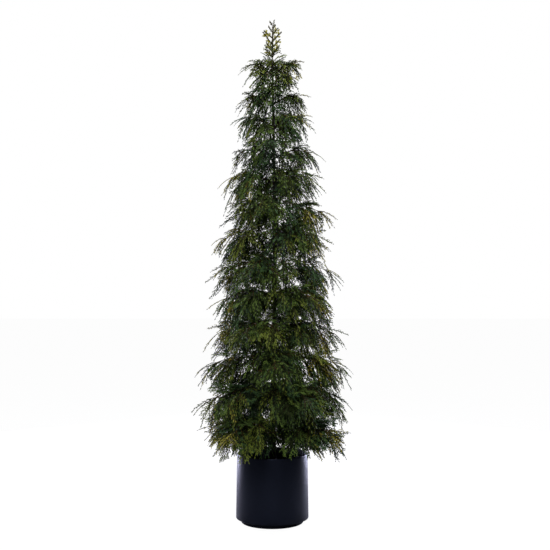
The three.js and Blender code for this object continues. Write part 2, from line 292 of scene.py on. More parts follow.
def bark_limb(line, radius, across, other, sides, rings):
    """A closed limb along line(t), as thick as radius(t), with furrows in its bark. Its sections
    lie in the plane of across and other, which are square to the way that it runs."""
    bm = bmesh.new()
    bmesh.ops.create_grid(bm, x_segments=sides, y_segments=rings, size=0.5)
    for vert in bm.verts:
        angle = 2 * math.pi * vert.co.x
        t = vert.co.y + 0.5
        facing = across * math.cos(angle) + other * math.sin(angle)
        middle = line(t)
        ridges = Vector(facing * FURROWS_ROUND) + Vector(middle) * FURROWS_ALONG
        furrow = noise.turbulence(ridges, 3, True) - MEAN_FURROW
        vert.co = Vector(middle + facing * radius(t) * (1 + FURROW_DEPTH * furrow)) * MM
    bmesh.ops.remove_doubles(bm, verts=bm.verts, dist=WELD_DISTANCE * MM)
    bmesh.ops.holes_fill(bm, edges=[edge for edge in bm.edges if edge.is_boundary])
    bmesh.ops.recalc_face_normals(bm, faces=bm.faces)
    return bm


def make_trunk():
    def height(t):
        return mix(FILL_TOP, TRUNK_TOP, t)

    return bark_limb(
        lambda t: np.array([trunk_middle(height(t)), 0, height(t)]),
        lambda t: trunk_radius(height(t)),
        np.array([1.0, 0, 0]),
        np.array([0, 1.0, 0]),
        TRUNK_SIDES,
        TRUNK_RINGS,
    )


bark = finish(
    "Dark brown bark", (0.008, 0.005, 0.004), (0.034, 0.021, 0.015), (0.65, 0.9), 0.3, (160, 1100),
    0.5, (1, 1, 0.25),
)
trunk = add_piece("trunk_bark", make_trunk(), ["trunk"])
trunk.data.materials.append(bark)


# Crown plan
# Thirteen tiers of boughs stand on the trunk, four to a tier below and three above. Each bough
# rises, arches over and droops at its tip, and its mass of foliage keeps to its own space.
SEED = 25
TIERS = 13
FULLEST_TIERS = 5
BOUGH_TIERS = 3
LOWEST_ROOT = 293
HIGHEST_ROOT = 1352
FIRST_TURN = 0.95
TIER_TURN = 1.1
WIDEST_REACH = 250
SLIMMEST_REACH = 86
REACH_BULGE = -3
UNEVEN_REACH = 0.14
LOWEST_RISE = 0.32
TOP_RISE = 0.85
DROOP = -0.46
TOP_DROOP = 0.15
CLOSING_UP = 0.12
TIER_WAVE = -10
SECOND_WAVE_SHARE = 0.4
PARTING_SHARE = 0.3
DEEPEST_HANG = 72
TOP_SPACE = 40
FURTHEST_SHARE = 1.1
FROND_FURTHEST_SHARE = 0.94
CELL_MARGIN = 1.2
TRUNK_GAP = 3
BOUGH_GAP = 2
POT_GAP = 4
BOUGH_SHARE = 0.2
STEM_SHARE = 0.62
BOUGH_RADIUS = 4
STEM_RADIUS = 3.4
STEM_TIP_RADIUS = 2.2
THREE_TOOTH_TIERS = 3
THREE_PAIR_TIERS = 9
PAIR_ANGLE = (1.1, 0.8)
PAIR_LENGTH = (0.7, 0.54)
PAIR_ROLL = (1.5, 0.8)
PAIR_TILT = (0.85, 1.25)
PAIR_LIFT = (-0.5, 0.05)
WIDER_SPREAD = 1.18
FIRST_SPRAY_SHARE = 0.16
BARE_START = 6
BARE_END = 2
PAIR_SHIFT = {1: 0.5, -1: 0.1}
TIP_SPRAY = {"lift": -0.15, "uneven_roll": 0.8, "length": 1.35, "bend": 0.35}
CREST_SPRAY = {"place": 0.32, "lift": 0.12, "uneven_roll": 1.6, "length": 0.5, "bend": 0.3}
SPRAY_SAG = 0.8
SPRAY_WIDTH = 0.37
SPRAY_BULGE = 0.7
ROOT_LENGTH = 8
ROOT_HALF_WIDTH = 3
TOOTHED_SHARE = 0.86
TOOTH_SWEEP = 0.3
TOOTH_SHIFT = {-1: -0.2, 1: 0.1}
NOTCH_SHARE = 0.43
INNER_CHECK = (0.3, 0.55)
LEAST_SPRAY = 0.55
SPRAY_STEP = 0.88
UNEVEN_SPRAY = 0.1
UNEVEN_PAIR_LIFT = 0.2

UP = np.array([0.0, 0.0, 1.0])


def chance(a, b):
    """One repeatable number from 0 to 1 for each pair of numbers."""
    x = math.sin(a * 127.1 + b * 311.7 + SEED) * 43758.5453
    return x - math.floor(x)


def unit(vector):
    return vector / np.linalg.norm(vector)


def across_of(level):
    return np.array([-level[1], level[0], 0.0])


def tier_at(k):
    share = k / (TIERS - 1)
    reach = mix(WIDEST_REACH, SLIMMEST_REACH, share) + REACH_BULGE * math.sin(math.pi * share)
    rise = mix(LOWEST_RISE, TOP_RISE, share)
    tip_slope = mix(DROOP, TOP_DROOP, share ** 6)
    return {
        "k": k,
        "reach": reach,
        "rise": rise,
        "fall": (rise - tip_slope) / (2 * reach),
        "root": mix(LOWEST_ROOT, HIGHEST_ROOT, share * (1 + CLOSING_UP * (1 - share))),
        "count": 4 if k < FULLEST_TIERS else 3,
        "turn": k * TIER_TURN + FIRST_TURN,
    }


tiers = [tier_at(k) for k in range(TIERS)]


def wave_at(turn):
    """A tier isn't level: it waves up and down round the trunk, in step with its neighbours."""
    return TIER_WAVE * (np.cos(2 * turn) + SECOND_WAVE_SHARE * np.sin(3 * turn))


def height_in(tier, r, turn):
    return tier["root"] + wave_at(turn) + tier["rise"] * r - tier["fall"] * r * r


def boundary(k, r, turn):
    """The surface that parts tier k from the one above it, low, because a mass hangs."""
    if k < 0:
        return height_in(tiers[0], r, turn) - DEEPEST_HANG
    if k >= TIERS - 1:
        return height_in(tiers[TIERS - 1], r, turn) + TOP_SPACE
    return mix(height_in(tiers[k], r, turn), height_in(tiers[k + 1], r, turn), PARTING_SHARE)


def mass_at(tier, i):
    number = tier["k"] * 10 + i
    turn = tier["turn"] + i * 2 * math.pi / tier["count"]
    return {
        "id": number,
        "tier": tier,
        "name": f"{tier['k'] + 1}_{i + 1}",
        "turn": turn,
        "out": np.array([math.cos(turn), math.sin(turn), 0.0]),
        "reach": tier["reach"] * (1 + UNEVEN_REACH * (chance(number, 1) - 0.5)),
        "has_bough": tier["k"] < BOUGH_TIERS,
    }


masses = [mass_at(tier, i) for tier in tiers for i in range(tier["count"])]


def middle_line(mass, r):
    """The point of a mass's middle line at distance r from the trunk's middle."""
    z = height_in(mass["tier"], r, mass["turn"])
    return mass["out"] * r + np.array([trunk_middle(z), 0, z])


def inside_space(mass, points, slack=0):
    """True for each point in the mass's own space: its sector of its tier, clear of trunk, bough
    and planter. With slack, which fronds have, the space is that much larger towards the masses
    round it, and ends at the mass's own reach."""
    tier = mass["tier"]
    z = points[:, 2]
    x = points[:, 0] - trunk_middle(z)
    y = points[:, 1]
    r = np.hypot(x, y)
    turn = np.arctan2(y, x)
    off = np.arccos(np.cos(turn - mass["turn"]))
    half = math.pi / tier["count"]
    beside = r * np.sin(np.clip(half - off, -1.5, 1.5)) >= CELL_MARGIN - slack
    above = z >= boundary(tier["k"] - 1, r, turn) + CELL_MARGIN - slack
    below = z <= boundary(tier["k"], r, turn) - CELL_MARGIN + slack
    furthest = tier["reach"] * FURTHEST_SHARE
    if slack:
        furthest = mass["reach"] * FROND_FURTHEST_SHARE
    out_of_trunk = (r >= trunk_radius(z) + TRUNK_GAP) & (r <= furthest)
    out_of_pot = (z >= pot_height + POT_GAP) | (r >= pot_base_radius + POT_GAP)
    line = mass["out"] * r[:, None]
    line[:, 2] = height_in(tier, r, mass["turn"])
    line[:, 0] += trunk_middle(line[:, 2])
    bare = r < mass["reach"] * BOUGH_SHARE + BOUGH_GAP
    off_bough = ~bare | (np.linalg.norm(points - line, axis=1) > BOUGH_RADIUS + BOUGH_GAP)
    return beside & above & below & out_of_trunk & out_of_pot & off_bough


def bent_points(spray, x, y, h):
    """Where the points (x along the midrib, y across, h above) of a flat spray or frond lie once
    it is bent."""
    length = spray["length"]
    up = np.cross(spray["ahead"], spray["side"])
    drop = spray["bend"] * x * x / (2 * length) + SPRAY_SAG * y * y / length
    flat = np.multiply.outer(x, spray["ahead"]) + np.multiply.outer(y, spray["side"])
    return spray["root"] + flat + np.multiply.outer(h, up) - np.multiply.outer(drop, UP)


def outline(spray):
    """The flat outline of a spray, with forward teeth down both sides, as (x, y) points."""
    length = spray["length"]
    step = (TOOTHED_SHARE * length - ROOT_LENGTH) / spray["teeth"]
    points = [(length, 0)]
    for sign, shift in TOOTH_SHIFT.items():
        points.append((ROOT_LENGTH, sign * ROOT_HALF_WIDTH))
        for i in range(1, spray["teeth"] + 1):
            x = ROOT_LENGTH + (i + shift) * step
            width = spray["width"] * math.sin(math.pi * (x / length) ** SPRAY_BULGE)
            points.append((x + TOOTH_SWEEP * step, sign * width))
            points.append((x, sign * width * NOTCH_SHARE))
    return np.array(points)


def spray_fits(mass, spray):
    """True if every corner of the spray, and the middle of each of its teeth, is in the mass's
    space."""
    x, y = outline(spray).T
    towards, share = INNER_CHECK
    inner_x = mix(towards * spray["length"], x, share)
    all_x = np.append(x, inner_x)
    points = bent_points(spray, all_x, np.append(y, share * y), 0 * all_x)
    return inside_space(mass, points).all()


def sprays_of(mass):
    """The sprays of one mass: one at the end of its stem, and pairs of them along it."""
    tier = mass["tier"]
    teeth = 3 if tier["k"] < THREE_TOOTH_TIERS else 2
    pairs = 3 if tier["k"] < THREE_PAIR_TIERS else 2
    start = mass["reach"] * (BOUGH_SHARE if mass["has_bough"] else FIRST_SPRAY_SHARE)
    end = mass["reach"] * STEM_SHARE
    found = []

    def add(r, angle, lift, roll, length, bend):
        slope = tier["rise"] - 2 * tier["fall"] * r
        level = mass["out"] * math.cos(angle) + across_of(mass["out"]) * math.sin(angle)
        ahead = unit(level + UP * (slope * math.cos(angle) + lift))
        side = across_of(level)
        side = unit(side + np.cross(ahead, side) * roll)
        side = unit(side - ahead * side.dot(ahead))
        size = length
        while size > length * LEAST_SPRAY:
            root = middle_line(mass, r) - ahead * STEM_TIP_RADIUS
            spray = {
                "root": root, "ahead": ahead, "side": side, "length": size,
                "width": size * SPRAY_WIDTH, "bend": bend, "teeth": teeth,
            }
            if spray_fits(mass, spray):
                found.append(spray)
                return
            size *= SPRAY_STEP

    number = mass["id"]
    tip = TIP_SPRAY
    tip_roll = tip["uneven_roll"] * (chance(number, 2) - 0.5)
    add(end, 0, tip["lift"], tip_roll, (mass["reach"] - end) * tip["length"], tip["bend"])
    if tier["count"] == 3:
        crest = CREST_SPRAY
        crest_roll = crest["uneven_roll"] * (chance(number, 3) - 0.5)
        crest_at = mix(start, end, crest["place"])
        add(crest_at, 0, crest["lift"], crest_roll, mass["reach"] * crest["length"], crest["bend"])
    spread = 1 if tier["count"] == 4 else WIDER_SPREAD
    pitch = (end - start - BARE_START - BARE_END) / pairs
    for sign in (1, -1):
        tilt = mix(*PAIR_TILT, chance(number, 40 + sign))
        for i in range(pairs):
            key = 10 + i * 2 + (sign + 1) // 2
            r = start + BARE_START + (i + PAIR_SHIFT[sign]) * pitch
            share = i / (pairs - 1)
            uneven_angle = UNEVEN_SPRAY * (chance(number, key) - 0.5)
            angle = sign * (mix(*PAIR_ANGLE, share) * spread + uneven_angle)
            lift = PAIR_LIFT[i % 2] + UNEVEN_PAIR_LIFT * (chance(number, key + 20) - 0.5)
            roll = sign * tilt * mix(*PAIR_ROLL, share)
            span = mix(*PAIR_LENGTH, share) * spread
            length = mass["reach"] * (span + UNEVEN_SPRAY * (chance(number, key + 60) - 0.5))
            add(r, angle, lift, roll, length, 2 * tier["fall"] * length)
    return found


# Boughs
# The bare inner part of each main bough in the lowest three tiers, with the trunk's bark. It is
# let into the trunk and tapers to where it enters its mass of foliage.
BOUGH_SIDES = 20
BOUGH_RINGS = 24
LET_IN = 1
BOUGH_OVERLAP = 2


def make_bough(mass):
    start = trunk_radius(middle_line(mass, 0)[2]) - LET_IN
    end = mass["reach"] * BOUGH_SHARE + BOUGH_OVERLAP
    return bark_limb(
        lambda t: middle_line(mass, mix(start, end, t)),
        lambda t: mix(BOUGH_RADIUS, STEM_RADIUS, t),
        across_of(mass["out"]),
        UP,
        BOUGH_SIDES,
        BOUGH_RINGS,
    )


for mass in masses:
    if mass["has_bough"]:
        name = f"bough_{mass['name']}"
        bough = add_piece(f"{name}_bark", make_bough(mass), [name])
        bough.data.materials.append(bark)


# Twigs
# Wires wrapped in brown tape: each mass has one stem that grows on from its bough or the trunk,
# a twig along each of its sprays, and a fine rib in each frond.
TWIG_RADIUS = 1.3
RIB_RADIUS = 1
STEM_STEPS = 9
RIB_STEPS = 6
STEM_TAPER = 0.7
RIB_TAPER = 0.45
STEM_OVERLAP = 3
TWIG_SHARE = 0.8
RIB_SHARE = 0.7
WIRE, OLIVE_RIB, AMBER_RIB = range(3)


def tube(path, radii):
    """The corners and triangles of a closed three-sided tube through the points of a path."""
    along = unit(path[-1] - path[0])
    across = unit(np.cross(along, UP if abs(along[2]) < 0.9 else [1.0, 0, 0]))
    other = np.cross(along, across)
    angles = 2 * math.pi * np.arange(3) / 3
    ring = np.multiply.outer(np.cos(angles), across) + np.multiply.outer(np.sin(angles), other)
    corners = (path[:, None] + ring[None] * radii[:, None, None]).reshape(-1, 3)
    triangles = [(2, 1, 0)]
    for start in range(0, 3 * (len(path) - 1), 3):
        for a, b in ((0, 1), (1, 2), (2, 0)):
            triangles.append((start + a, start + b, start + 3 + b))
            triangles.append((start + a, start + 3 + b, start + 3 + a))
    last = 3 * (len(path) - 1)
    triangles.append((last, last + 1, last + 2))
    return corners, np.array(triangles)


def joined_mesh(name, parts):
    """One mesh of many parts, each (corners in millimetres, triangles, material numbers). The
    numbers are one for the whole part or one for each triangle."""
    corners = np.concatenate([part[0] for part in parts]) * MM
    starts = np.cumsum([0] + [len(part[0]) for part in parts[:-1]])
    triangles = np.concatenate([part[1] + start for part, start in zip(parts, starts)])
    numbers = np.concatenate([np.broadcast_to(part[2], len(part[1])) for part in parts])
    mesh = bpy.data.meshes.new(name)
    mesh.vertices.add(len(corners))
    mesh.vertices.foreach_set("co", corners.ravel())
    mesh.loops.add(triangles.size)
    mesh.loops.foreach_set("vertex_index", triangles.ravel())
    mesh.polygons.add(len(triangles))
    mesh.polygons.foreach_set("loop_start", np.arange(0, triangles.size, 3))
    mesh.polygons.foreach_set("material_index", numbers)
    mesh.update(calc_edges=True)
    return mesh


def stem_of(mass):
    """The tube of a mass's stem, from its bough's end or from inside the trunk's skin."""
    skin = trunk_radius(middle_line(mass, 0)[2]) - LET_IN
    start = mass["reach"] * BOUGH_SHARE if mass["has_bough"] else skin
    end = mass["reach"] * STEM_SHARE + STEM_OVERLAP
    path = np.array([middle_line(mass, r) for r in np.linspace(start, end, STEM_STEPS)])
    return tube(path, np.linspace(STEM_RADIUS, STEM_TIP_RADIUS * STEM_TAPER, STEM_STEPS))


def rib_of(blade, share, radius):
    """The tube along the first share of the midrib of a spray or a frond."""
    x = np.linspace(0, share * blade["length"], RIB_STEPS)
    path = bent_points(blade, x, 0 * x, 0 * x)
    return tube(path, np.linspace(radius, radius * RIB_TAPER, RIB_STEPS))


twig_finishes = [
    finish(name, dark, light, (0.6, 0.85), 0.25, (90, 900), 0.15)
    for name, dark, light in (
        ("Brown wrapped wire", (0.02, 0.013, 0.008), (0.06, 0.036, 0.018)),
        ("Olive rib", (0.03, 0.034, 0.008), (0.07, 0.07, 0.016)),
        ("Amber rib", (0.09, 0.048, 0.012), (0.16, 0.085, 0.02)),
    )
]


# Fronds
# Flat fronds of moulded plastic, 30 to 115 mm long, clipped on the twigs. Rows of small,
# overlapping scale leaves run along a midrib, forward-swept side rows and their short fingers.
LEAF_PITCH = 5
LEAF_LENGTH = 7.2
LEAF_WIDTH = 3.6
LEAF_THICKNESS = 2
LEAF_WIDEST_AT = 0.45
LEAF_SWAY = 0.22
LEAF_SHRINK = 0.3
LEAF_TRIANGLES = np.array([(0, 2, 3), (0, 3, 1), (0, 1, 2), (1, 3, 2)])
FROND_WIDEST_AT = 0.33
FIRST_ROW_AT = 0.12
LAST_ROW_AT = 0.94
LEAST_HALF_WIDTH = 3
ROW_CURL = 0.35
SHORTEST_BRANCHED = 18
FINGER_PLACES = (0.4, 0.65)
FINGER_TURN = 0.7
FINGER_CURL = 0.3
FROND_SIZES = (45, 60, 75, 90, 105)
FROND_KINDS = (
    {"half_width": 0.35, "headings": (0.95, 0.6), "pitch": 7.6},
    {"half_width": 0.31, "headings": (0.95, 0.55), "pitch": 7.6},
    {"half_width": 0.27, "headings": (0.9, 0.5), "pitch": 7.6},
    {"half_width": 0.08, "headings": (0.8, 0.6), "pitch": 6.5},
)
SLIM_KIND = 3


def leaf_row(start, heading, span, turning, tilt, key, pitch=LEAF_PITCH):
    """A row of scale leaves from start = (x, y, h), each with its root, left, right and tip, and
    the place and heading at which each leaf begins."""
    count = max(1, round(span / pitch))
    thick = LEAF_THICKNESS / 2
    x, y, h = start
    leaves = []
    places = []
    for i in range(count):
        places.append(((x, y, h), heading))
        size = 1 - LEAF_SHRINK * (i / count) ** 2
        sign = 1 if i % 2 else -1
        sway = heading + sign * LEAF_SWAY * (0.6 + 0.8 * chance(key, i))
        ahead = np.array([math.cos(sway), math.sin(sway)]) * LEAF_LENGTH * size
        beside = np.array([-math.sin(sway), math.cos(sway)]) * LEAF_WIDTH * size / 2
        root = np.array([x, y])
        widest = root + LEAF_WIDEST_AT * ahead
        leaves.append([
            (*root, h + thick),
            (*(widest + beside), h - thick),
            (*(widest - beside), h - thick),
            (*(root + ahead), h + thick),
        ])
        x += pitch * math.cos(heading)
        y += pitch * math.sin(heading)
        h += pitch * tilt
        heading += turning / count
    return leaves, places


def frond_plan(length, kind, half_width, headings, pitch):
    """The leaves of one flat frond along +X, widest at a third of its length, with a row at each
    pitch, as an array of leaf, corner and place, and how many of them are its inner ones. The
    rest are the outer halves of its rows and their fingers."""
    bulge = math.log(0.5) / math.log(FROND_WIDEST_AT)
    first = FIRST_ROW_AT * length
    leaves, _ = leaf_row((first, 0, 0), 0, length - first, 0, 0, kind)
    fingers = []
    rows = int((LAST_ROW_AT * length - first) / pitch)
    for i in range(rows):
        x = first + (i + 0.3 * chance(kind, i)) * pitch
        share = x / length
        sign = 1 if (i + kind) % 2 else -1
        heading = mix(*headings, share)
        width = half_width * math.sin(math.pi * share ** bulge) + LEAST_HALF_WIDTH
        span = width / math.sin(heading) * (0.8 + 0.35 * chance(kind, 30 + i))
        tilt = 0.5 * (chance(kind, 60 + i) - 0.5)
        row, places = leaf_row(
            (x, 0, 0), sign * heading, span, -ROW_CURL * sign, tilt, kind * 40 + i,
        )
        leaves += row[:len(row) // 2]
        fingers += row[len(row) // 2:]
        if span < SHORTEST_BRANCHED:
            continue
        for j, along in enumerate(FINGER_PLACES):
            place, turned = places[round(along * (len(places) - 1))]
            turn_to = 1 if (j + i // 2) % 2 else -1
            turned += turn_to * FINGER_TURN
            finger = 0.25 * span + 4
            fingers += leaf_row(place, turned, finger, -FINGER_CURL * turn_to, tilt, i + j)[0]
    return np.array(leaves + fingers), len(leaves)


frond_plans = [
    [
        frond_plan(size, number, kind["half_width"] * size, kind["headings"], kind["pitch"])
        for number, kind in enumerate(FROND_KINDS)
    ]
    for size in FROND_SIZES
]


def plan_of(frond, kind):
    """The plan nearest to a frond's length, and how much larger the frond is."""
    nearest = min(range(len(FROND_SIZES)), key=lambda i: abs(FROND_SIZES[i] - frond["length"]))
    return frond_plans[nearest][kind], frond["length"] / FROND_SIZES[nearest]


def frond_leaves(frond, plan, scale=1):
    """The corners and triangles of a frond's leaves, bent to its place, and which are tips, the
    leaves that take the painted light.
    """
    flat_leaves, inner_leaves = plan
    x, y, h = flat_leaves.reshape(-1, 3).T
    corners = bent_points(frond, x * scale, y * scale, h)
    numbers = np.arange(len(flat_leaves))
    triangles = (4 * numbers[:, None, None] + LEAF_TRIANGLES[None]).reshape(-1, 3)
    return corners, triangles, np.repeat(numbers >= inner_leaves, len(LEAF_TRIANGLES))


# Places of the fronds
# A fan of slim fronds ends each spray, others stand by turns down both its sides, more hang below
# it, and the rest grow on the stem itself. Together they fill the crown and hide its wires.
END_FRONDS = (
    {"angle": 0, "share": 1, "lift": 0, "bend": 0.5},
    {"angle": 0.35, "share": 0.95, "lift": 0.35, "bend": 0.8},
    {"angle": -0.3, "share": 0.95, "lift": -0.15, "bend": 0.8},
    {"angle": 0.65, "share": 0.9, "lift": -0.35, "bend": 0.7},
    {"angle": -0.6, "share": 0.9, "lift": 0.3, "bend": 0.8},
    {"angle": 1.0, "share": 0.85, "lift": 0.15, "bend": 0.8},
    {"angle": -0.95, "share": 0.8, "lift": -0.5, "bend": 0.7},
)
SHORT_SPRAY = 60
SHORT_SPRAY_ENDS = 5
MIDDLE_OUTREACH = 24
END_LENGTHS = (58, 105)
END_LENGTH_SHARE = 0.75
END_SHRINK = 0.65
END_GROWTH = 1.2
FIRST_GROWN_TIER = 3
END_SET_BACK = 0.14
UNEVEN_DROOP = (0.5, 1.6)
UNEVEN_LIFT = 0.5
LOWEST_TIER_ENDS = {"droop": 0.4, "lift": -0.2}
OTHER_ENDS = {"droop": 1.3, "lift": -0.35}
SIDE_PITCH = 25
SIDE_STRETCH = 0.55
SIDE_START = 0.08
SIDE_ANGLES = (0.95, 0.7)
SIDE_LENGTHS = (42, 88)
SIDE_REACH = 1.05
SIDE_LIFT = 0.9
SIDE_ROLL = 1.4
SIDE_BEND = 0.35
HANGING_PITCH = 21
FEWEST_HANGING = 2
HANGING_LESS = 1.3
HANGING_FURTHEST = (0.6, 0.95)
HANGING_SWAY = 2.0
HANGING_ROLL = 0.9
HANGING_LENGTHS = (58, 92)
HANGING_SHRINK = 0.85
HANGING_BEND = 0.5
STEEPEST = 1.2
LEAST_STEEP = {"slim": 0.7, "wide": 0.2}
STEM_FRONDS = (-10, 33)
STEM_NUMBER = 9
STEM_START = (0.08, 6)
STEM_CROWDING = 1.3
STEM_SHRINK = 0.8
STEM_SWAYS = (0.2, 1.6, 0.9)
STEEPNESS_ABOVE_STEM = (-0.7, -0.1)
STEEPNESS_BELOW_STEM = (0.2, 1.25)
LOW_TIERS = 2
LOW_DENSITY = 1.8
FROND_SLACK = 62
LOWEST_TIP = 197
SIDE_TIP_RISE = 16
FIT_POINTS = np.array([(0.45, 0.3), (0.45, -0.3), (0.75, 0.22), (0.75, -0.22), (1, 0)])
FIT_TRIES = 4
FIT_STEP = 0.85


def turned_about(axis, vector, angle):
    return vector * math.cos(angle) + np.cross(axis, vector) * math.sin(angle)


def point_on(spray, x):
    return bent_points(spray, np.array([x]), np.zeros(1), np.zeros(1))[0]


def frond_on(spray, x, angle, length, lift, roll, bend, slim=False):
    """A frond that grows from x along a spray's twig, turned by angle in the spray's surface."""
    slope = spray["bend"] * x / spray["length"]
    along = unit(spray["ahead"] - UP * slope)
    side = unit(spray["side"] - along * spray["side"].dot(along))
    facing = np.cross(along, side)
    ahead = unit(along * math.cos(angle) + side * math.sin(angle) + facing * lift)
    beside = turned_about(facing, side, angle)
    beside = unit(beside - ahead * beside.dot(ahead))
    beside = turned_about(ahead, beside, roll)
    return {
        "root": point_on(spray, x), "ahead": ahead, "side": beside, "length": length,
        "bend": bend, "slim": slim,
    }


def hanging_frond(root, sway, steepness, roll, length, slim=False):
    """A frond that hangs from a point of a twig with its flat side facing out of the crown."""
    out = unit(np.array([root[0] - trunk_middle(root[2]), root[1], 0.0]))
    level = out * math.cos(sway) + across_of(out) * math.sin(sway)
    ahead = level * math.cos(steepness) - UP * math.sin(steepness)
    return {
        "root": root, "ahead": ahead, "side": turned_about(ahead, across_of(level), roll),
        "length": length, "bend": HANGING_BEND, "slim": slim,
    }


def hanging_length(mass, share, shrink):
    """The length of a hanging frond, which shrinks with the reach of its mass."""
    return mix(*HANGING_LENGTHS, share) * mix(shrink, 1, mass["reach"] / WIDEST_REACH)


def largest_that_fits(mass, make, size):
    """The frond that make(size) gives, made smaller until it fits the mass's space, or nothing.
    No tip hangs far below the planter's lip, and at its left and right sides none does."""
    lowest = LOWEST_TIP + SIDE_TIP_RISE * abs(math.cos(mass["turn"]))
    for _ in range(FIT_TRIES):
        frond = make(size)
        x, y = FIT_POINTS.T * frond["length"]
        points = bent_points(frond, x, y, 0 * x)
        if inside_space(mass, points, FROND_SLACK).all() and points[:, 2].min() > lowest:
            return [frond]
        size *= FIT_STEP
    return []


def end_fronds(mass, spray, key):
    """The fan of slim fronds that ends a spray and droops. It reaches out most half-way up."""
    k = mass["tier"]["k"]
    length = spray["length"]
    outreach = MIDDLE_OUTREACH * math.sin(math.pi * (k + 1) / (TIERS + 1))
    growth = 1 if k < FIRST_GROWN_TIER else END_GROWTH
    tier_ends = LOWEST_TIER_ENDS if k == 0 else OTHER_ENDS
    shortest, longest = END_LENGTHS
    found = []
    for end in END_FRONDS if length > SHORT_SPRAY else END_FRONDS[:SHORT_SPRAY_ENDS]:
        angle = end["angle"]
        droop = end["bend"] * mix(*UNEVEN_DROOP, chance(key, 140 + angle)) * tier_ends["droop"]
        size = max(shortest, min(longest, END_LENGTH_SHARE * length)) * end["share"]
        end_x = length + outreach - END_SET_BACK * abs(angle) * length
        x = max(0, end_x - size * math.cos(angle))
        lift = end["lift"] + UNEVEN_LIFT * chance(key, 130 + end["share"]) + tier_ends["lift"]
        size *= mix(END_SHRINK, growth, chance(key, 150 + angle))
        found.append(frond_on(spray, x, angle, size, lift, 0, droop, slim=True))
    return found


def side_fronds(mass, spray, key):
    """The fronds by turns left and right along the inner half of a spray, as long as it is wide."""
    length = spray["length"]
    count = int(SIDE_STRETCH * length / SIDE_PITCH)
    shortest, longest = SIDE_LENGTHS
    found = []
    for i in range(count):
        x = SIDE_START * length + i * SIDE_PITCH
        sign = 1 if (i + key) % 2 else -1
        angle = sign * mix(*SIDE_ANGLES, i / max(count, 1))
        reach = spray["width"] / math.sin(abs(angle)) * SIDE_REACH
        size = max(shortest, min(longest, reach * (0.8 + 0.3 * chance(key, i))))
        lift = SIDE_LIFT * (chance(key, i + 20) - 0.6)
        roll = SIDE_ROLL * (chance(key, i + 40) - 0.5)
        found += largest_that_fits(
            mass, lambda size: frond_on(spray, x, angle, size, lift, roll, SIDE_BEND), size,
        )
    return found


def hanging_fronds(mass, spray, key):
    """The fronds that hang below a spray, nearer to its end the higher its tier is."""
    length = spray["length"]
    count = max(FEWEST_HANGING, round(length / HANGING_PITCH - HANGING_LESS))
    furthest = mix(*HANGING_FURTHEST, mass["tier"]["k"] / (TIERS - 1)) * length
    found = []
    for i in range(count):
        x = (i + 0.5 + 0.4 * chance(key, i + 60)) / count * furthest
        root = point_on(spray, x)
        sway = HANGING_SWAY * (chance(key, i + 70) - 0.5)
        slim = (i + key) % 3 == 1
        least_steep = LEAST_STEEP["slim" if slim else "wide"]
        steepness = mix(least_steep, STEEPEST, chance(key, i + 80))
        roll = HANGING_ROLL * (chance(key, i + 100) - 0.5)
        found += largest_that_fits(
            mass,
            lambda size: hanging_frond(root, sway, steepness, roll, size, slim),
            hanging_length(mass, chance(key, i + 110), HANGING_SHRINK),
        )
    return found


def stem_fronds(mass, key):
    """The fronds on the stem itself, by turns left and right, above it and below it."""
    start_share, bare_start = STEM_START
    start = start_share * mass["reach"] + bare_start
    end = mass["reach"] * STEM_SHARE
    count = round(mix(*STEM_FRONDS, mass["reach"] / WIDEST_REACH))
    if mass["tier"]["k"] < LOW_TIERS:
        count = round(count * LOW_DENSITY)
    least_sway, inner_sway, outer_sway = STEM_SWAYS
    found = []
    for i in range(count):
        share = ((i + 0.6 * chance(key, i)) / count) ** STEM_CROWDING
        root = middle_line(mass, mix(start, end, share))
        most_sway = mix(inner_sway, outer_sway, i / count)
        sway = (1 if i % 2 else -1) * mix(least_sway, most_sway, chance(key, i + 10))
        least_and_most = STEEPNESS_ABOVE_STEM if i // 2 % 3 == 1 else STEEPNESS_BELOW_STEM
        steepness = mix(*least_and_most, chance(key, i + 20))
        roll = HANGING_ROLL * (chance(key, i + 30) - 0.5)
        found += largest_that_fits(
            mass,
            lambda size: hanging_frond(root, sway, steepness, roll, size),
            hanging_length(mass, chance(key, i + 40), STEM_SHRINK),
        )
    return found


# Greens of the fronds
# The fronds are moulded in five greens, each (dark, light) here, and are mixed as they are clipped
# on. Each green is made twice: a darkened copy paints shade on a frond's inner leaves, and a
# lightened copy paints light on its tips.
DEEP_GREEN, BLUE_GREEN, MID_GREEN, OLIVE, GOLD = range(5)
INNER_PAINTED_SHADE = 0.27
TIP_PAINTED_LIGHT = 1.5
FULLY_SIDEWARDS = 0.8
GOLD_FROM = 0.42
GOLD_RISE = 0.65
OLIVE_LEAST = 0.13
OLIVE_RISE = 0.45
MID_GREEN_UP_TO = 0.62
BLUE_GREEN_FROM = 0.72
BLUE_GREEN_RISE = 0.2
SAME_DRAW_SHARE = 0.6
STEM_PAINTED_LIGHT_SHARE = 0.25
AMBER_SHARE = 0.35

frond_tones = [
    ((0.028, 0.052, 0.011), (0.058, 0.096, 0.022)),
    ((0.022, 0.050, 0.016), (0.044, 0.088, 0.029)),
    ((0.050, 0.082, 0.014), (0.094, 0.146, 0.028)),
    ((0.082, 0.108, 0.014), (0.146, 0.180, 0.030)),
    ((0.168, 0.154, 0.018), (0.268, 0.244, 0.036)),
]
# Two copies of each green: the 'inner' finish is painted shade and the 'tips' finish is painted
# light.
frond_finishes = [
    finish(
        f"Cedar frond {i + 1} {part}", [c * shade for c in dark], [c * shade for c in light],
        (0.5, 0.75), 0.18, (120, 1500), 0.2,
    )
    for i, (dark, light) in enumerate(frond_tones)
    for part, shade in (("inner", INNER_PAINTED_SHADE), ("tips", TIP_PAINTED_LIGHT))
]


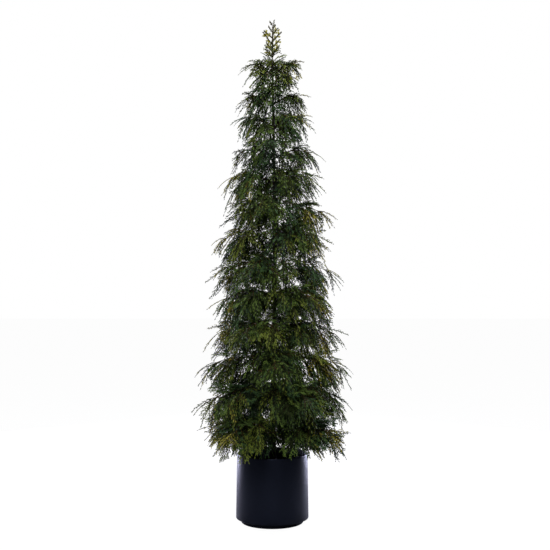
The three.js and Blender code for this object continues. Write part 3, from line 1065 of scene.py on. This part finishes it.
def tone_of(mass, frond, key):
    """Which green a frond has: gold and olive ones stand out at the tree's left and right sides,
    and blue ones nearer to its middle."""
    draw = chance(key, 7)
    sidewards = min(1, abs(frond["root"][0]) / (FULLY_SIDEWARDS * mass["reach"]))
    if draw < GOLD_RISE * (sidewards - GOLD_FROM):
        return GOLD
    if draw < OLIVE_LEAST + OLIVE_RISE * sidewards:
        return OLIVE
    if draw < MID_GREEN_UP_TO:
        return MID_GREEN
    return BLUE_GREEN if draw > BLUE_GREEN_FROM + BLUE_GREEN_RISE * sidewards else DEEP_GREEN


def add_grown(name, parts, finishes, nodes):
    """Adds one piece of many small parts, which have the finishes by number."""
    mesh = joined_mesh(name, parts)
    for material in finishes:
        mesh.materials.append(material)
    add_piece(name, mesh, nodes, smooth=False)


def grow(name, nodes, grown):
    """Makes the twigs and the fronds of one tier. grown holds (mass, stem, groups of fronds), and
    a group (key, spray, fronds). The stem's own group has no spray and keeps to the darker greens,
    as painted shade, and what points down in it mostly has painted shade on all its leaves."""
    twigs = []
    leaves = []
    for mass, stem, groups in grown:
        twigs.append((*stem, WIRE))
        for key, spray, fronds in groups:
            if spray:
                twigs.append((*rib_of(spray, TWIG_SHARE, TWIG_RADIUS), WIRE))
            for i, frond in enumerate(fronds):
                has_same_draw = chance(key, 90 + i) < SAME_DRAW_SHARE
                tone = tone_of(mass, frond, key if has_same_draw else key + i)
                # Stem fronds are held to the darker greens: painted shade for the inside of the
                # crown.
                if not spray:
                    tone = min(tone, MID_GREEN)
                kind = SLIM_KIND if frond["slim"] else (key + i) % SLIM_KIND
                corners, triangles, painted_lit_tip = frond_leaves(frond, *plan_of(frond, kind))
                # Most stem fronds that point down get the darkened copy on every leaf, tips too:
                # painted shade.
                hidden = not spray and frond["ahead"][2] < 0
                all_painted_shade = hidden and chance(key, 180 + i) > STEM_PAINTED_LIGHT_SHARE
                leaves.append((corners, triangles, 2 * tone + (0 if all_painted_shade else painted_lit_tip)))
                rib_tone = AMBER_RIB if chance(key, 120 + i) < AMBER_SHARE else OLIVE_RIB
                twigs.append((*rib_of(frond, RIB_SHARE, RIB_RADIUS), rib_tone))
    add_grown(f"{name}_twigs", twigs, twig_finishes, nodes)
    add_grown(f"{name}_fronds", leaves, frond_finishes, nodes)


def groups_of(mass):
    """The fronds of a mass in groups (key, spray, fronds), its stem's last."""
    groups = []
    for i, spray in enumerate(sprays_of(mass)):
        key = mass["id"] * 10 + i
        fronds = end_fronds(mass, spray, key)
        fronds += side_fronds(mass, spray, key)
        fronds += hanging_fronds(mass, spray, key)
        groups.append((key, spray, fronds))
    stem_key = mass["id"] * 10 + STEM_NUMBER
    return [*groups, (stem_key, None, stem_fronds(mass, stem_key))]


for tier in tiers:
    members = [mass for mass in masses if mass["tier"] is tier]
    nodes = [f"foliage_{mass['name']}" for mass in members]
    grown = [(mass, stem_of(mass), groups_of(mass)) for mass in members]
    grow(f"tier_{tier['k'] + 1}", nodes, grown)


# Leader
# The upright tip of the tree: one tall frond with bold, open branches, longest at half its height,
# and narrow fronds that spread from its foot. Its leaves are larger and closer than the others'.
LEADER_TURN = 0.1
LEADER_SCALE = 1.25
LEADER_PITCH = 2.6
LEADER_BARE_FOOT = 0.1
LEADER_MIDRIB = 0.88
LEADER_CURL = 0.1
LEADER_BRANCHES = 11
LEADER_BRANCH_PLACES = (0.12, 0.86)
LEADER_HEADING = 0.7
LEADER_SPANS = (0.28, 0.08)
LEADER_FULLEST = {"at": 0.48, "width": 0.14, "more": 0.2}
LEADER_TILT = 1.6
LAST_FINGERED = 0.7
LEADER_FINGERS = (0.3, 0.5, 0.7)
LEADER_FINGER_SPAN = 0.08
LEADER_WIRE_MIDDLE = 60
LEADER_BARE_TIP = 10
LEADER_WIRE_RADII = (2.4, 1.8, 0.9)
LEADER_RIB_SHARE = 0.8
FOOT_FRONDS = 16
FOOT_TURN = 2.4
FOOT_HEIGHTS = (-30, 32)
FOOT_TILTS = (2.0, 0.4)
FOOT_LENGTHS = (66, 44)
FOOT_BEND = 0.35
FOOT_KIND = 2


def leader_plan(length):
    """The leaves of the tall frond: a midrib and branches by turns, the lower ones with fingers."""
    leaves, _ = leaf_row(
        (LEADER_BARE_FOOT * length, 0, 0), 0, LEADER_MIDRIB * length, LEADER_CURL, 0, 1,
        LEADER_PITCH,
    )
    fingers = []
    for i in range(LEADER_BRANCHES):
        share = mix(*LEADER_BRANCH_PLACES, i / (LEADER_BRANCHES - 1))
        sign = 1 if i % 2 else -1
        off_fullest = (share - LEADER_FULLEST["at"]) / LEADER_FULLEST["width"]
        fuller = LEADER_FULLEST["more"] * math.exp(-(off_fullest ** 2))
        span = (mix(*LEADER_SPANS, share) + fuller) * length
        tilt = LEADER_TILT * (chance(i, 150) - 0.5)
        row, places = leaf_row(
            (share * length, 0, 0), sign * LEADER_HEADING, span, -LEADER_CURL * sign, tilt, i,
            LEADER_PITCH,
        )
        leaves += row
        if share > LAST_FINGERED:
            continue
        for j, along in enumerate(LEADER_FINGERS):
            place, turned = places[round(along * (len(places) - 1))]
            turn_to = 1 if (j + i // 2) % 2 else -1
            finger, _ = leaf_row(
                place, turned + FINGER_TURN * turn_to, LEADER_FINGER_SPAN * length,
                -FINGER_CURL * turn_to, tilt, i + j, LEADER_PITCH,
            )
            fingers += finger
    return np.array(leaves + fingers), len(leaves)


def foot_frond(foot, i):
    """Frond i of those that spread from the leader's foot, steeper and shorter the higher up."""
    share = i / (FOOT_FRONDS - 1)
    level = np.array([math.cos(FOOT_TURN * i), math.sin(FOOT_TURN * i), 0.0])
    return {
        "root": foot + UP * mix(*FOOT_HEIGHTS, share),
        "ahead": unit(level * mix(*FOOT_TILTS, share) + UP),
        "side": across_of(level),
        "length": mix(*FOOT_LENGTHS, share),
        "bend": FOOT_BEND,
    }


def add_leader():
    foot = np.array([trunk_middle(TRUNK_TOP), 0, TRUNK_TOP])
    length = cad_high.z / MM - TRUNK_TOP
    along = np.array([math.cos(LEADER_TURN), math.sin(LEADER_TURN), 0.0])
    leader = {"root": foot, "ahead": UP, "side": along, "length": length, "bend": 0}
    plan = leader_plan(length / LEADER_SCALE)
    grown = [(leader, GOLD, frond_leaves(leader, plan, LEADER_SCALE))]
    for i in range(FOOT_FRONDS):
        frond = foot_frond(foot, i)
        kind, tone = (SLIM_KIND, MID_GREEN) if i % 2 else (FOOT_KIND, OLIVE)
        grown.append((frond, tone, frond_leaves(frond, *plan_of(frond, kind))))
    wire_tip = foot + UP * (length - LEADER_BARE_TIP)
    wire = np.array([foot, foot + UP * LEADER_WIRE_MIDDLE, wire_tip])
    twigs = [(*tube(wire, np.array(LEADER_WIRE_RADII)), WIRE)]
    leaves = []
    for frond, tone, (corners, triangles, painted_lit_tip) in grown:
        # The leader's inner leaves take the painted shade, and its tips the painted light.
        leaves.append((corners, triangles, 2 * tone + painted_lit_tip))
        twigs.append((*rib_of(frond, LEADER_RIB_SHARE, RIB_RADIUS), OLIVE_RIB))
    add_grown("leader_twigs", twigs, twig_finishes, ["leader_foliage"])
    add_grown("leader_fronds", leaves, frond_finishes, ["leader_foliage"])


add_leader()


# Floor
# A plain pale floor for the picture. To the camera it is nearly white, as the light on a product
# table is, and it keeps a faint shadow where the planter stands.
FLOOR_HALF_SIZE = 14

bm = bmesh.new()
bmesh.ops.create_grid(bm, x_segments=2, y_segments=2, size=FLOOR_HALF_SIZE)
floor_mesh = bpy.data.meshes.new("floor")
bm.to_mesh(floor_mesh)
bm.free()
floor = bpy.data.objects.new("floor", floor_mesh)
bpy.context.scene.collection.objects.link(floor)
pale = bpy.data.materials.new("Pale floor")
pale.use_nodes = True
nodes, links = pale.node_tree.nodes, pale.node_tree.links
surface = nodes["Principled BSDF"]
surface.inputs["Base Color"].default_value = (0.3, 0.3, 0.3, 1)
surface.inputs["Roughness"].default_value = 0.9
glow = nodes.new("ShaderNodeEmission")
glow.inputs["Strength"].default_value = 1.15
path = nodes.new("ShaderNodeLightPath")
amount = nodes.new("ShaderNodeMath")
amount.operation = "MULTIPLY"
amount.inputs[1].default_value = 0.85
blend = nodes.new("ShaderNodeMixShader")
links.new(path.outputs["Is Camera Ray"], amount.inputs[0])
links.new(amount.outputs[0], blend.inputs["Fac"])
links.new(surface.outputs[0], blend.inputs[1])
links.new(glow.outputs[0], blend.inputs[2])
links.new(blend.outputs[0], nodes["Material Output"].inputs["Surface"])
floor_mesh.materials.append(pale)


# Light
# A white studio: the camera sees plain white behind the tree. One wide soft box hangs in front
# and one above, and two tall strips behind, left and right, draw the planter's bright edges.
def area_light(name, place, target, width, height, watts, colour=(1, 1, 1)):
    light = bpy.data.lights.new(name, "AREA")
    light.shape = "RECTANGLE"
    light.size = width
    light.size_y = height
    light.energy = watts
    light.color = colour
    lamp = bpy.data.objects.new(name, light)
    lamp.location = place
    lamp.rotation_euler = (Vector(target) - Vector(place)).to_track_quat("-Z", "Y").to_euler()
    bpy.context.scene.collection.objects.link(lamp)


area_light("front_box", (-0.5, -2.5, 2.7), (0, 0, 0.8), 1.3, 0.8, 56)
area_light("top_box", (0.5, -0.4, 3.2), (0, 0, 0.8), 1.2, 1.2, 32)
area_light("left_strip", (-1.3, 1.6, 0.7), (0, 0, 0.5), 0.5, 1.8, 95, (0.76, 0.75, 1))
area_light("right_strip", (1.3, 1.6, 0.7), (0, 0, 0.5), 0.5, 1.8, 82, (0.76, 0.77, 1))

world = bpy.data.worlds.new("Studio")
bpy.context.scene.world = world
world.use_nodes = True
nodes, links = world.node_tree.nodes, world.node_tree.links
seen = nodes.new("ShaderNodeBackground")
seen.inputs["Color"].default_value = (1, 1, 1, 1)
dim = nodes["Background"]
dim.inputs["Color"].default_value = (0.85, 0.88, 1, 1)
dim.inputs["Strength"].default_value = 0.05
path = nodes.new("ShaderNodeLightPath")
choice = nodes.new("ShaderNodeMixShader")
links.new(path.outputs["Is Camera Ray"], choice.inputs["Fac"])
links.new(dim.outputs[0], choice.inputs[1])
links.new(seen.outputs[0], choice.inputs[2])
links.new(choice.outputs[0], nodes["World Output"].inputs["Surface"])
bpy.context.scene.view_settings.view_transform = "Standard"


# Camera
# A level camera with a long lens, three metres in front of the tree and at half its height. It
# looks down a little on the planter's lip and up a little at the tree's tip.
camera_data = bpy.data.cameras.new("camera")
camera_data.lens = 64.77
camera_data.sensor_width = 36
camera = bpy.data.objects.new("camera", camera_data)
camera.location = (0.0082, -3.004, 0.748)
camera.rotation_euler = (math.pi / 2, 0, 0)
bpy.context.scene.collection.objects.link(camera)
bpy.context.scene.camera = camera
